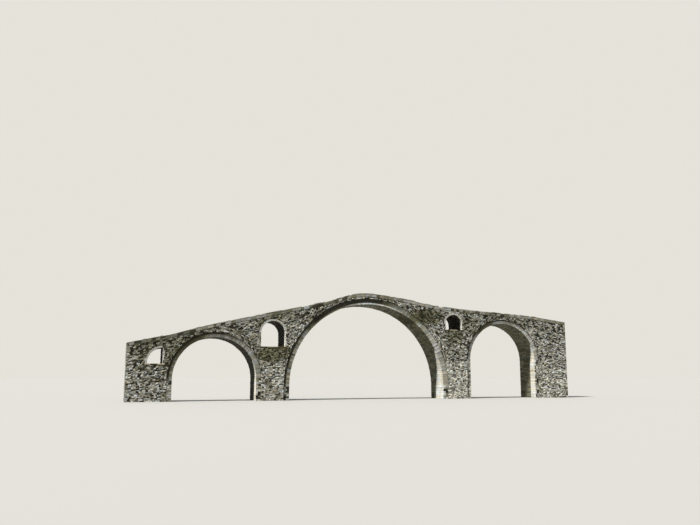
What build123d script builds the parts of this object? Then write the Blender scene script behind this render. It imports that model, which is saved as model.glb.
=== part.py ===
"""Stone arch bridge of three spans with a humped road, modelled at half its real size.

Millimetres. X runs along the road, Y across it and Z is up. The origin is the middle of the
plan, on the level of the lowest foot. The front is the side that faces -Y, and the pointed
cutwaters stand on the back, which faces upstream.
"""

import os
from collections import namedtuple
from math import cos, radians, sin

from build123d import *

os.makedirs("parts", exist_ok=True)

# Overall length, and how far the walls stop inside the ends of the paving and the coping
bridge_length = 28000
end_setback = 25

# Widths across the bridge
barrel_width = 1750
ring_recess = 50
wall_thickness = 225
coping_overhang = 30
coping_height = 60
paving_depth = 100

# Main arch
main_radius = 4925
main_spring = 805
main_ring = 325
main_haunch_angle = 45

# Left arch
left_radius = 2350
left_spring = 1225
left_ring = 275

# Right arch
right_radius = 2355
right_spring = 2405
right_ring = 240

# Piers, measured between the backs of the two rings that stand beside them
left_pier_width = 1325
right_pier_width = 1350

# Relief openings through the masonry over the piers, hung below the road by their cover
left_relief_radius = 722
left_relief_height = 1505
left_relief_cover = 516
right_relief_radius = 575
right_relief_height = 975
right_relief_cover = 416
right_relief_shift = -215

# Half-arched relief opening in the left end, with an upright jamb on its right
end_relief_radius = 850
end_relief_sill = 2050
end_relief_stilt = 50
end_relief_gap = 515

# Linings and sills of the relief openings
relief_lining = 110
relief_sill_depth = 70

# Solid masonry of the right end, up to where its side walls begin
right_abutment_height = 3400

# Corners of the road's long profile, from left to right: how far each lies from the crown of an
# arch or from the axis of a pier, and how high over an arch's crown or below it
left_end_slope = 0.2
left_foot_reach = 2600
left_foot_drop = 200
left_shoulder_reach = 200
left_shoulder_cover = 467
hump_start_reach = 2895
hump_start_drop = 330
hump_shift = 463
hump_cover = 398
brow_reach = 2286
brow_cover = 107
hollow_reach = 1715
hollow_drop = 259
right_shoulder_reach = 542
right_shoulder_cover = 593
right_foot_reach = 2334
right_foot_cover = 289
right_end_slope = 0.13
ramp_rounding = 5000
hump_rounding = 4000

# Open joint that parts the coping and the paving where the road changes its slope
road_joint = 4

# Cutwaters on the upstream faces of the piers
cutwater_reach = 900
cutwater_height = 2200
cutwater_cap_height = 650
cutwater_eave = 25

Arch = namedtuple("Arch", "x spring radius ring")
Relief = namedtuple("Relief", "x sill spring radius")

main_back = main_radius + main_ring
left_back = left_radius + left_ring
right_back = right_radius + right_ring

main = Arch(0, main_spring, main_radius, main_ring)
left = Arch(-main_back - left_pier_width - left_back, left_spring, left_radius, left_ring)
right = Arch(main_back + right_pier_width + right_back, right_spring, right_radius, right_ring)

left_pier_axis = -main_back - left_pier_width / 2
right_pier_axis = main_back + right_pier_width / 2

# Places along the bridge and across it
half_length = bridge_length / 2
wall_end = half_length - end_setback
wall_face = barrel_width / 2 + ring_recess
wall_inside = wall_face - wall_thickness
coping_face = wall_face + coping_overhang
cutwater_nose = wall_face + cutwater_reach
centreline_y = (coping_face - cutwater_nose - cutwater_eave) / 2

# Long profile of the coping's top: its corners, each set out from an arch or a pier, with the
# radius that rounds each corner between the two ends
main_top = main_spring + main_back
left_top = left_spring + left_back
right_top = right_spring + right_back
left_foot = (left.x - left_foot_reach, left_top - left_foot_drop)
right_foot = (right.x + right_foot_reach, right_top + right_foot_cover)
left_end_z = left_foot[1] - left_end_slope * (left_foot[0] + half_length)
right_end_z = right_foot[1] - right_end_slope * (half_length - right_foot[0])
road_profile = [
    (-half_length, left_end_z),
    left_foot,
    (left.x - left_shoulder_reach, left_top + left_shoulder_cover),
    (left_pier_axis + hump_start_reach, main_top - hump_start_drop),
    (main.x - hump_shift, main_top + hump_cover),
    (main.x + brow_reach, main_top + brow_cover),
    (right_pier_axis - hollow_reach, main_top - hollow_drop),
    (right_pier_axis + right_shoulder_reach, right_top + right_shoulder_cover),
    right_foot,
    (half_length, right_end_z),
]
road_roundings = 3 * [ramp_rounding] + [hump_rounding] + 4 * [ramp_rounding]
sky = 2 * main_top

# Corners of the road on either side of its highest point, which both sides share
road_corners = [x for x, z in road_profile]
hump = road_corners.index(main.x - hump_shift)
road_sides = (("left", road_corners[: hump + 1]), ("right", road_corners[hump:]))


def hung_relief(x, radius, height, cover):
    """Relief opening whose crown lies under the road by its cover."""
    for (x_from, z_from), (x_to, z_to) in zip(road_profile, road_profile[1:]):
        if x_from <= x <= x_to:
            crown = z_from + (z_to - z_from) * (x - x_from) / (x_to - x_from) - cover
    return Relief(x, crown - height, crown - radius, radius)


left_relief = hung_relief(
    left_pier_axis, left_relief_radius, left_relief_height, left_relief_cover
)
right_relief = hung_relief(
    right_pier_axis + right_relief_shift,
    right_relief_radius,
    right_relief_height,
    right_relief_cover,
)
end_relief = Relief(
    left.x - left_radius - end_relief_gap,
    end_relief_sill,
    end_relief_sill + end_relief_stilt,
    end_relief_radius,
)


def upright_plane(y):
    """Elevation plane that lies y behind the centreline of the road, drawn in X and Z."""
    return Plane.XZ.offset(-(centreline_y + y))


def upright_block(x_from, x_to, z_from, z_to, mode=Mode.ADD):
    """Rectangle in an elevation, from its four limits."""
    with Locations(((x_from + x_to) / 2, (z_from + z_to) / 2)):
        Rectangle(x_to - x_from, z_to - z_from, mode=mode)


def round_headed(x, reach, base, spring, mode):
    """Outline with upright sides and a semicircular head, from its base up."""
    with BuildLine() as outline:
        Line((x - reach, base), (x - reach, spring))
        ThreePointArc((x - reach, spring), (x, spring + reach), (x + reach, spring))
        Polyline((x + reach, spring), (x + reach, base), (x - reach, base))
    make_face(outline.edges(), mode=mode)


def arch_shape(arch, thickness=0, mode=Mode.SUBTRACT):
    """Outline of an arch from the ground up, grown by a thickness of masonry."""
    round_headed(arch.x, arch.radius + thickness, 0, arch.spring, mode)


def relief_shape(relief, thickness=0, mode=Mode.SUBTRACT):
    """Outline of a round-headed relief opening from its sill up, grown by its lining."""
    round_headed(relief.x, relief.radius + thickness, relief.sill, relief.spring, mode)


def half_relief_shape(relief, thickness=0, mode=Mode.SUBTRACT):
    """Outline of a half-arched opening, whose x is its upright right jamb, grown by its lining."""
    reach = relief.radius + thickness
    with BuildLine() as outline:
        foot = (relief.x - reach, relief.sill)
        springing = (relief.x - reach, relief.spring)
        head = (relief.x, relief.spring + reach)
        Line(foot, springing)
        RadiusArc(springing, head, reach)
        Polyline(head, (relief.x, relief.sill), foot)
    make_face(outline.edges(), mode=mode)
    if thickness:
        upright_block(relief.x, relief.x + thickness, relief.sill, head[1], mode)


def road_area(drop, mode=Mode.ADD):
    """Whole area below the long profile of the road, lowered by drop."""
    lowered = [(x, z - drop) for x, z in road_profile]
    with BuildLine() as outline:
        FilletPolyline(*lowered, radius=road_roundings)
        Polyline(lowered[-1], (half_length, 0), (-half_length, 0), lowered[0])
    make_face(outline.edges(), mode=mode)


def below_road(drop, x_from, x_to, z_from):
    """Area below the lowered profile, between two uprights and above a level."""
    road_area(drop)
    upright_block(x_from, x_to, z_from, sky, mode=Mode.INTERSECT)


def road_layer(drop, depth, corners):
    """Layer of even depth below the lowered profile, parted by a joint at each inner corner."""
    below_road(drop, corners[0], corners[-1], 0)
    road_area(drop + depth, mode=Mode.SUBTRACT)
    for x in corners[1:-1]:
        upright_block(x - road_joint / 2, x + road_joint / 2, 0, sky, mode=Mode.SUBTRACT)


def save(part, name):
    """Names a finished piece and writes its file."""
    part.label = name
    export_step(part, f"parts/{name}.step")


# Side arches: cut stone vaults with straight legs down to the foot
for name, arch in (("left_arch", left), ("right_arch", right)):
    with BuildPart() as vault:
        with BuildSketch(upright_plane(0)):
            arch_shape(arch, arch.ring, Mode.ADD)
            arch_shape(arch)
        extrude(amount=barrel_width / 2, both=True)
    save(vault.part, name)

# Main arch: two haunches on their legs and the crown between them, parted on radial joints
joint_reach = 2 * main_back
joint_x = joint_reach * cos(radians(main_haunch_angle))
joint_z = main.spring + joint_reach * sin(radians(main_haunch_angle))
centre = (main.x, main.spring)


def haunch_area(side):
    """Area on one side of the main arch, below its radial joint."""
    return (
        centre,
        (main.x + side * joint_x, joint_z),
        (main.x + side * joint_reach, joint_z),
        (main.x + side * joint_reach, 0),
        (main.x, 0),
    )


crown_area = (centre, (main.x + joint_x, joint_z), (main.x - joint_x, joint_z))
for name, area in (
    ("main_arch_left_haunch", haunch_area(-1)),
    ("main_arch_crown", crown_area),
    ("main_arch_right_haunch", haunch_area(1)),
):
    with BuildPart() as section:
        with BuildSketch(upright_plane(0)):
            arch_shape(main, main.ring, Mode.ADD)
            arch_shape(main)
            Polygon(*area, align=None, mode=Mode.INTERSECT)
        extrude(amount=barrel_width / 2, both=True)
    save(section.part, name)

# Linings and sills of the relief openings, flush with the walls
reliefs = (
    ("left_end_relief", end_relief, half_relief_shape),
    ("left_pier_relief", left_relief, relief_shape),
    ("right_pier_relief", right_relief, relief_shape),
)


def sill_shape(relief, mode=Mode.SUBTRACT):
    """Outline of the slab below a relief opening, as wide as the opening's lining."""
    right_reach = relief_lining if relief is end_relief else relief.radius + relief_lining
    upright_block(
        relief.x - relief.radius - relief_lining,
        relief.x + right_reach,
        relief.sill - relief_sill_depth,
        relief.sill,
        mode,
    )


for name, relief, shape in reliefs:
    with BuildPart() as lining:
        with BuildSketch(upright_plane(0)):
            shape(relief, relief_lining, Mode.ADD)
            shape(relief)
        extrude(amount=wall_face, both=True)
    save(lining.part, f"{name}_vault")

    with BuildPart() as sill:
        with BuildSketch(upright_plane(0)):
            sill_shape(relief, Mode.ADD)
        extrude(amount=wall_face, both=True)
    save(sill.part, f"{name}_sill")

# Piers and abutments: solid masonry up to the sills, shaped to the backs of the rings
left_pier_top = left_relief.sill - relief_sill_depth
right_pier_top = right_relief.sill - relief_sill_depth
left_abutment_top = end_relief_sill - relief_sill_depth
supports = (
    ("left_abutment", -wall_end, left.x, left_abutment_top, (left,)),
    ("left_pier", left.x, main.x, left_pier_top, (left, main)),
    ("right_pier", main.x, right.x, right_pier_top, (main, right)),
    ("right_abutment", right.x, wall_end, right_abutment_height, (right,)),
)
for name, x_from, x_to, top, arches in supports:
    with BuildPart() as support:
        with BuildSketch(upright_plane(0)):
            upright_block(x_from, x_to, 0, top)
            for arch in arches:
                arch_shape(arch, arch.ring)
        extrude(amount=wall_face, both=True)
    save(support.part, name)

# Bays of the masonry above the supports, each bounded by the crowns of the arches
bays = (
    ("left_end", -wall_end, left.x, left_abutment_top, (left,), reliefs[0]),
    ("left_bay", left.x, main.x, left_pier_top, (left, main), reliefs[1]),
    ("right_bay", main.x, right.x, right_pier_top, (main, right), reliefs[2]),
    ("right_end", right.x, wall_end, right_abutment_height, (right,), None),
)


def bay_shape(bay, drop):
    """Elevation of one bay of masonry, up to the long profile lowered by drop."""
    name, x_from, x_to, base, arches, opening = bay
    below_road(drop, x_from, x_to, base)
    for arch in arches:
        arch_shape(arch, arch.ring)
    if opening:
        opening[2](opening[1], relief_lining)
        sill_shape(opening[1])


for bay in bays:
    for side, inner_face in (("front", -wall_inside), ("back", wall_face)):
        with BuildPart() as wall:
            with BuildSketch(upright_plane(inner_face)):
                bay_shape(bay, coping_height)
            extrude(amount=wall_thickness)
        save(wall.part, f"{side}_spandrel_{bay[0]}")

    with BuildPart() as core:
        with BuildSketch(upright_plane(0)):
            bay_shape(bay, coping_height + paving_depth)
        extrude(amount=wall_inside, both=True)
    save(core.part, f"rubble_core_{bay[0]}")

# Road paving between the walls, on both sides of the hump
for name, corners in road_sides:
    with BuildPart() as paving:
        with BuildSketch(upright_plane(0)):
            road_layer(coping_height, paving_depth, corners)
        extrude(amount=wall_inside, both=True)
    save(paving.part, f"paving_{name}")

# Coping along both edges of the road, overhanging the walls
for side, outer_face in (("front", -wall_inside), ("back", coping_face)):
    for name, corners in road_sides:
        with BuildPart() as coping:
            with BuildSketch(upright_plane(outer_face)):
                road_layer(0, coping_height, corners)
            extrude(amount=wall_thickness + coping_overhang)
        save(coping.part, f"{side}_coping_{name}")

# Cutwaters: triangles in plan against the back face of each pier, under sloping caps
for name, axis, width in (
    ("left", left_pier_axis, left_pier_width),
    ("right", right_pier_axis, right_pier_width),
):
    back_y = centreline_y + wall_face
    with BuildPart() as cutwater:
        with BuildSketch():
            Polygon(
                (axis - width / 2, back_y),
                (axis + width / 2, back_y),
                (axis, back_y + cutwater_reach),
                align=None,
            )
        extrude(amount=cutwater_height)
    save(cutwater.part, f"{name}_cutwater")

    eave_level = Plane.XY.offset(cutwater_height)
    apex = Vector(axis, back_y, cutwater_height + cutwater_cap_height)
    nose = Vector(axis, back_y + cutwater_reach + cutwater_eave, cutwater_height)
    with BuildPart() as cap:
        with BuildSketch(eave_level):
            Polygon(
                (axis - width / 2, back_y),
                (axis + width / 2, back_y),
                (nose.X, nose.Y),
                align=None,
            )
        extrude(amount=cutwater_cap_height)
        for side in (-1, 1):
            corner = Vector(axis + side * width / 2, back_y, cutwater_height)
            slope = (nose - corner).cross(apex - corner)
            upward = slope if slope.Z > 0 else -slope
            split(bisect_by=Plane(origin=corner, z_dir=upward), keep=Keep.BOTTOM)
    save(cap.part, f"{name}_cutwater_cap")
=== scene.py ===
"""Dresses the stone arch bridge: its single stones, their finish, the light and the camera."""

import math
import random
from functools import cached_property
from typing import NamedTuple

import bmesh
import bpy
import numpy as np
from bpy.props import FloatProperty, FloatVectorProperty, PointerProperty
from bpy.types import Operator, Panel, PropertyGroup
from mathutils import Euler, Matrix, Vector, noise


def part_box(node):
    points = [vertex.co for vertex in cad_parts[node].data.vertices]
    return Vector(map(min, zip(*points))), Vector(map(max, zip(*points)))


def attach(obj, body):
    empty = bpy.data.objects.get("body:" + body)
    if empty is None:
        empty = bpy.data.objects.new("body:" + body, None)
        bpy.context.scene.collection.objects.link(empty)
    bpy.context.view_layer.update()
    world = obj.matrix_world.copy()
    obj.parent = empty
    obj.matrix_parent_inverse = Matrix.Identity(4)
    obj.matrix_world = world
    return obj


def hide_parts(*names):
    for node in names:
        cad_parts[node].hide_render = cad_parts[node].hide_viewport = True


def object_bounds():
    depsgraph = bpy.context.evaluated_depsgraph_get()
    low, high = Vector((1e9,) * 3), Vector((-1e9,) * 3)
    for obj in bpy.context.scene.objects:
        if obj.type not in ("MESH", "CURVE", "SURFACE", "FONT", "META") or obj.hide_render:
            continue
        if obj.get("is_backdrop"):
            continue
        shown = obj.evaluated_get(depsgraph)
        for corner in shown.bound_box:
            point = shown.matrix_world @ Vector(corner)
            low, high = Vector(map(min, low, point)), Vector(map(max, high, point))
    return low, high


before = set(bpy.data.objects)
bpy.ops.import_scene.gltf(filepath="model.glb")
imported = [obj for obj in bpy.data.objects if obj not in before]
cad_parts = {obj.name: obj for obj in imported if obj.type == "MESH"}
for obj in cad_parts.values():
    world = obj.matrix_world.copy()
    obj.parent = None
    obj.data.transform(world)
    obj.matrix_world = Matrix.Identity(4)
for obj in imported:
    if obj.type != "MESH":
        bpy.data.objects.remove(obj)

bl_info = {
    "name": "Stone arch bridge",
    "version": (1, 0, 0),
    "blender": (4, 5, 0),
    "location": "View3D > Sidebar > Bridge",
    "description": "Lays the stones of an old arched bridge over its solid masonry",
    "category": "Object",
}

CAD_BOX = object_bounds()
BODY = "root"
NOISE_SEED = 3

# Lengths in metres below which points count as one, or as lying in one plane
SAME = 0.0005
WELD = 0.0002
ON_PLANE = 0.00001
# Decimals of a metre to which places along the road, and the feet of a vault, are told apart
ROAD_DECIMALS = 3
FOOT_DECIMALS = 4
# Share of a normal that has to lie along a direction for a face to look that way
FACING = 0.999
SIDEWAYS = 0.5
STRAIGHT = math.radians(1)

COPING_NODES = ("front_coping_left", "front_coping_right")

# Seen from the front, the bridge is laid in bays that end over the crowns of its arches
BAYS = {
    "left_end": ("left_abutment", "spandrel_left_end"),
    "left_bay": ("left_pier", "spandrel_left_bay"),
    "right_bay": ("right_pier", "spandrel_right_bay"),
    "right_end": ("right_abutment", "spandrel_right_end"),
}
BAY_ENDS = [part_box(f"front_{wall}")[1].x for pier, wall in BAYS.values()]
MAIN_ARCH_NODES = ("main_arch_left_haunch", "main_arch_crown", "main_arch_right_haunch")
RELIEFS = ("left_end_relief", "left_pier_relief", "right_pier_relief")

# Tones of vault stones, from 0, dark, to 1, pale. "ring" is for the two faces, and "spread" how
# much their stones differ; "left_leg" and "left_ring" are the share of it that the left
# leg and the left half keep, the left half's share a painted shade. "sunlit_rim" is a painted
# sunlit edge of the face, below the wall's painted shadow, which goes "edge" metres up the face,
# and "shaded_rim" is painted shade on its left part. "underside" is for the underside, darkened
# as painted shade, "sunlit_strip" for a painted sunlit strip along its front, and "band" is the
# least width of that strip.
MAIN_TONES = {
    "ring": 0.82, "spread": 0.45, "sunlit_rim": 0.94, "underside": 0.20, "sunlit_strip": 0.90, "edge": 0.075,
    "left_leg": 1.0, "left_ring": 0.2, "shaded_rim": 0.13, "band": 0.05,
}
RIGHT_TONES = {
    "ring": 0.82, "spread": 0.35, "sunlit_rim": 0.80, "underside": 0.22, "sunlit_strip": 0.90, "edge": 0.16,
    "left_leg": 1.0, "left_ring": 0.5, "shaded_rim": 0.13, "band": 0.05,
}
# The left arch's ring, its lower edge and its underside are darker: painted shade
LEFT_TONES = {**RIGHT_TONES, "ring": 0.50, "sunlit_rim": 0.40, "underside": 0.05}
LINING_TONES = {
    "ring": 0.80, "spread": 0.15, "sunlit_rim": 0.80, "underside": 0.0, "sunlit_strip": 0.99, "edge": 0.10,
    "left_leg": 0.6, "left_ring": 1.0, "shaded_rim": 0.80, "band": 0.11,
}
# Tone of the painted shadow that the overhanging wall casts on a ring's face
OVERHANG_SHADOW_TONE = 0.05
# Tones of other stones: that of the darkest, and how much paler the palest are
# Underside stones, which the vault tones darken further as painted shade
UNDERSIDE_TONES = (0.4, 0.6)
EDGE_COURSE_TONES = (0.04, 0.60)
END_TONES = (0.08, 0.62)
COPING_TONES = (0.1, 0.6)
COBBLE_TONES = (0.10, 0.45)
CUTWATER_TONES = (0.2, 0.5)
# How far the tones of the wall stones are drawn apart, from the middle one
MID_TONE = 0.5
CONTRAST = 1.5
# How much darker the stones are below the road, how far down that reaches, and in what part of
# that depth it fades: the last third, for 3
DAMP = 0.16
DAMP_REACH = 0.95
DAMP_FADE = 3
# How little the dusty stone glints
GLOSS = 0.15
# Painted shadow of the overhanging wall on a ring's face: where on the ring, in degrees round it
# from the springing on the left, the shadow begins to reach down to the lower edge and where it
# ends, over how many degrees it ends, how many times as quickly it begins, and how far up the
# face it starts elsewhere
OVERHANG_SHADOW_FROM = 38
OVERHANG_SHADOW_TO = 128
OVERHANG_SHADOW_FADE = 30
QUICKER = 3
OVERHANG_SHADOW_DEPTH = 0.12
# Where on a ring, in the same degrees, its shaded lower edge begins to turn to painted sunlight
SUNLIT_RIM_FROM = 72
# Painted sunlit strip under the front edge of a vault, on its right: its width is a share of
# the radius times the cosine of a turn, which grows as the vault climbs, and it ends after so
# many radians
SUNLIT_SHARE = 0.42
SUNLIT_TURN = math.radians(61)
SUNLIT_CLIMB = 1
# Smallest part of a stone's length at which the painted sunlit strip's edge gets a joint of its own
BAND_JOINT = 0.3

# Facings whose courses follow the back of a ring: its nodes, how deep the facing is, and, in
# degrees from the crown, where it starts to thin out and where it ends
RING_FACINGS = (
    (MAIN_ARCH_NODES, 0.8, 42, 80),
    (("left_arch",), 0.34, 40, 86),
    (("right_arch",), 0.34, 40, 86),
)
# Side of the squares that a wall is cut into before its points are moved
GRID = 0.25
# How far from the main crown the courses begin to sink below the road, and over what distance
DROOP_FROM = 1.2
DROOP_OVER = 3.8

# Ranges that the stones are drawn from. As shares of how far they stand proud: tops of wall
# stones, faces of vault blocks, their undersides, sill slabs
STONE_RISE = (0.45, 1.35)
FACE_RISE = (0.4, 1.3)
UNDERSIDE_RISE = (0.3, 1.0)
SILL_RISE = (0.3, 1)
# Slope of a top for each unit of roughness, depth of a worn edge for its width, and how far the
# middle of a top strays, in widths of a worn edge: along, across and out
TOP_SLOPE = 0.1
WORN_DEPTH = 0.6
STRAY_ALONG = 1.5
STRAY_OUT = (-0.2, 1)
# Where in the thickness of a ring its legs have a joint, and how deep blocks that lie within a
# vault go, in widths of a worn edge
LEG_JOINT = (0.35, 0.65)
BLOCK_DEPTH = 3
# Slant of the joint between two thin stones, and how uneven a block is for its worn edge
THIN_LEAN = 0.15
BLOCK_WOBBLE = 0.3
SLAB_WOBBLE = 0.5
# Share of the stones just below the road that are laid as two thin ones
EDGE_THIN_SHARE = 0.025
# Wandering joints: how far they stray, and how many turns a metre they take
WALL_WANDER = (0.014, 1.6)
BLOCK_WANDER = (0.012, 2.3)
ROAD_WANDER = (0.02, 3.1)
FINER = 4
# Joints of the vaults and of the coping, as shares of a wall joint
VAULT_JOINT = 0.7
COPING_JOINT = 0.35
# Slabs of the sills: width and length of one, how far it oversails and how deep it is bedded
SILL_WIDTH = 0.34
SILL_LENGTH = 0.4
SILL_OVERSAIL = 1.4
SILL_BED = 0.01
# Coping slabs: how far each stays behind the edge, and how much it is thinner or thicker
COPING_SETBACK = (0.004, 0.032)
COPING_THICKER = (-0.022, 0.020)
# How many times as many coping slabs as wall stones are gone
COPING_LOST = 3
# Stones of the ends, for a wall stone's size
END_STONE = 1.2
# Cobbles: length for width, how far they stand proud and how worn they are, both for a wall
# stone's, and how rough they are
COBBLE_LENGTH = 1.1
COBBLE_PROUD = 1.2
COBBLE_WEAR = 1.4
COBBLE_ROUGHNESS = 0.8
# Faces of a block before its edges are worn
BLOCK_FACES = 6

WALL_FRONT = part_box("left_pier")[0].y
WALL_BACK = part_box("left_pier")[1].y
UP = Vector((0, 0, 1))
FRONTWARD = Vector((0, -1, 0))
BACKWARD = Vector((0, 1, 0))

# Stains in the elevation: x, z, half width, half height, and how strong
STAINS = (
    (-5.9, 2.68, 1.15, 0.60, 1.00),
    (-5.8, 4.75, 0.75, 0.28, 0.70),
    (-6.62, 4.42, 0.24, 0.28, 0.90),
    (-7.5, 3.9, 1.00, 0.80, 0.30),
    (-8.6, 4.1, 0.38, 0.20, 0.55),
    (5.7, 3.9, 0.85, 0.50, 0.70),
    (6.9, 4.45, 1.00, 0.65, 0.55),
    (5.4, 2.7, 0.90, 0.50, 0.40),
    (3.6, 5.05, 1.45, 0.56, 1.00),
    (6.6, 4.95, 1.00, 0.35, 0.45),
    (10.6, 5.00, 1.30, 0.30, 0.40),
    (-4.7, 4.95, 0.80, 0.42, 0.50),
    (-3.3, 4.9, 0.80, 0.35, 0.35),
    (8.2, 5.25, 1.10, 0.35, 0.30),
    # Darker left end: painted shade, as of trees, mixed with damp and moss
    (-11.6, 2.9, 2.60, 1.30, 0.65),
)
# Where the masonry stays pale: x, z, half width, half height, and how strong
SCOURED = ((-5.9, 0.8, 1.6, 1.5, 0.25), (5.9, 0.9, 1.7, 1.5, 0.9), (12.6, 0.8, 2.0, 1.6, 0.5))


def length_property(name, description, default):
    """Property that holds a length in metres."""
    return FloatProperty(name=name, description=description, default=default, unit="LENGTH")


def share_property(name, description, default):
    """Property that holds a share between none and all."""
    return FloatProperty(name=name, description=description, default=default, subtype="FACTOR")


def colour_property(name, description, default):
    """Property that holds a colour."""
    return FloatVectorProperty(
        name=name, description=description, default=default, subtype="COLOR", size=3
    )


class StoneSizes(PropertyGroup):
    """Sizes of the stones and of the joints between them."""

    course: length_property("Wall course", "Mean height of a course of the walls", 0.075)
    wall_stone: length_property("Wall stone", "Mean length of a stone in the walls", 0.120)
    road_zone: length_property(
        "Road zone", "Depth below the road in which the courses follow its slope", 2.2
    )
    haunch_droop: length_property(
        "Haunch droop", "How far the courses sink below the road beside the main crown", 0.45
    )
    edge_course: length_property("Edge course", "Height of the even course below the road", 0.15)
    edge_stone: length_property("Edge stone", "Mean length of a stone of that course", 0.26)
    edge_joint: length_property("Edge joint", "Width of the open joint below that course", 0.022)
    joint: length_property("Joint", "Width of the joints in the walls", 0.013)
    proud: length_property("Relief", "How far the wall stones stand out of their mortar", 0.018)
    arris: length_property("Worn edge", "Width of the worn edge round each stone", 0.008)
    main_row: length_property("Main ring stone", "Mean thickness of a main arch stone", 0.118)
    side_row: length_property("Side ring stone", "Mean thickness of a side arch stone", 0.104)
    relief_row: length_property("Relief ring stone", "Mean thickness of a lining stone", 0.092)
    ring_stone: length_property("Vault stone", "Mean length of a stone across a vault", 0.42)
    lining_stone: length_property("Lining stone", "Mean length of a stone in a lining", 0.23)
    slab: length_property("Coping slab", "Mean length of a coping slab", 0.31)
    cobble: length_property("Cobble", "Mean width of a cobble of the road", 0.125)
    block_course: length_property("Cutwater course", "Mean height of a cutwater course", 0.105)
    block: length_property("Cutwater block", "Mean length of a cutwater block", 0.20)
    thin_share: share_property("Thin stones", "Share of stones laid as two thin ones", 0.25)
    lost_share: share_property("Lost stones", "Share of wall stones that have fallen out", 0.025)


class StoneColours(PropertyGroup):
    """Colours of the stones, of what grows on them and of the studio."""

    dark: colour_property("Dark stone", "Darkest stones of the walls", (0.027, 0.025, 0.018))
    olive: colour_property("Brown stone", "Dull stones of the walls", (0.205, 0.196, 0.132))
    mid: colour_property("Grey stone", "Most stones of the walls", (0.405, 0.398, 0.366))
    pale: colour_property("Pale stone", "Palest stones of the walls", (0.830, 0.822, 0.772))
    mortar: colour_property("Mortar", "Mortar deep in the joints", (0.028, 0.027, 0.021))
    stain: colour_property("Stain", "Tint of damp and moss on the stones", (0.400, 0.390, 0.270))
    moss: colour_property("Moss", "Moss in the darkest stains", (0.070, 0.066, 0.026))
    scoured: colour_property("Scour", "Gain of the scoured masonry", (1.750, 1.750, 1.680))
    ochre: colour_property("Ochre stain", "Rusty stain on some stones", (0.300, 0.190, 0.085))
    lichen: colour_property("Lichen", "Yellow lichen in patches", (0.270, 0.255, 0.120))
    cool: colour_property("Cool stone", "Tint of the bluest stones", (0.930, 1.000, 1.110))
    warm: colour_property("Warm stone", "Tint of the brownest stones", (1.080, 1.000, 0.860))
    floor: colour_property("Floor", "Floor of the studio, as it is seen", (0.420, 0.415, 0.400))
    bounce: colour_property("Bounce", "Floor of the studio, as it lights", (0.280, 0.275, 0.260))
    background: colour_property("Background", "Pale ground behind it", (0.784, 0.764, 0.701))


def sizes():
    """Sizes of the stones, as the panel shows them."""
    return bpy.context.scene.bridge_sizes


def colours():
    """Colours of the stones and the studio, as the panel shows them."""
    return bpy.context.scene.bridge_colours


def road_line():
    """Long profile of the underside of the coping, as two arrays, X and Z."""
    lowest = {}
    for node in COPING_NODES:
        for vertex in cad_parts[node].data.vertices:
            place = round(vertex.co.x, ROAD_DECIMALS)
            lowest[place] = min(vertex.co.z, lowest.get(place, math.inf))
    places = sorted(lowest)
    return np.array(places), np.array([lowest[place] for place in places])


ROAD_X, ROAD_Z = road_line()


def road_height(x):
    """Height of the top of the walls at x."""
    return float(np.interp(x, ROAD_X, ROAD_Z))


def held(value):
    """Value held between 0 and 1."""
    return min(1, max(0, value))


def bed_height(x):
    """Line that the upper courses keep to: the road's, but steeper over the main haunches."""
    share = held((abs(x) - DROOP_FROM) / DROOP_OVER)
    smooth = share * share * (3 - 2 * share)
    return road_height(x) - sizes().haunch_droop * smooth


def spaced(start, end, pitch, chance, spread=0.35):
    """Places from start to end, about a pitch apart, with one at each end."""
    count = max(1, round((end - start) / pitch))
    steps = [chance.uniform(1 - spread, 1 + spread) for _ in range(count)]
    scale = (end - start) / sum(steps)
    places = [start]
    for step in steps:
        places.append(places[-1] + step * scale)
    return places


def toned(value, tones):
    """Tone of a stone for a random value between 0 and 1."""
    darkest, paler = tones
    return darkest + paler * value


def contrasted(value):
    """Tone of a wall stone for a random value between 0 and 1."""
    return MID_TONE + CONTRAST * (value - MID_TONE)


class Face:
    """Flat face of the masonry, with its own axes: u along it, v up it and h out of it."""

    def __init__(self, nodes, outward):
        self.nodes = nodes
        outward = Vector(outward).normalized()
        along = UP.cross(outward).normalized()
        self.turn = Matrix((along, outward.cross(along), outward)).to_4x4()
        self.back = self.turn.inverted()
        self.level = 0

    def area(self):
        """Outermost faces of the nodes that look outward, laid flat."""
        flat = bmesh.new()
        for node in self.nodes:
            flat.from_mesh(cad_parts[node].data)
        flat.transform(self.turn)
        flat.normal_update()
        looking = [face for face in flat.faces if face.normal.z > FACING]
        self.level = max(face.calc_center_median().z for face in looking)
        kept = {face for face in looking if self.level - face.calc_center_median().z < SAME}
        others = [face for face in flat.faces if face not in kept]
        bmesh.ops.delete(flat, geom=others, context="FACES")
        for vertex in flat.verts:
            vertex.co.z = 0
        bmesh.ops.remove_doubles(flat, verts=flat.verts, dist=WELD)
        return flat

    def place(self, u, v, h):
        """Point of the bridge for a point of this face."""
        return self.back @ Vector((u, v, self.level + h))


def everything(mesh):
    """All points, edges and faces of a bmesh."""
    return mesh.verts[:] + mesh.edges[:] + mesh.faces[:]


def cut(mesh, origin, normal, **sides):
    """Cuts a whole bmesh by a plane and clears a side if that is asked for."""
    bmesh.ops.bisect_plane(
        mesh, geom=everything(mesh), dist=ON_PLANE, plane_co=origin, plane_no=normal, **sides
    )


def extent(mesh, axis):
    """Lowest and highest value of one coordinate of a bmesh."""
    values = [vertex.co[axis] for vertex in mesh.verts]
    return min(values), max(values)


def take(mesh, inside):
    """Moves the faces whose middle is inside a region to a bmesh of their own."""
    taken = mesh.copy()
    for part, unwanted in ((taken, False), (mesh, True)):
        faces = [face for face in part.faces if inside(face.calc_center_median()) == unwanted]
        bmesh.ops.delete(part, geom=faces, context="FACES")
    return taken


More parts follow.
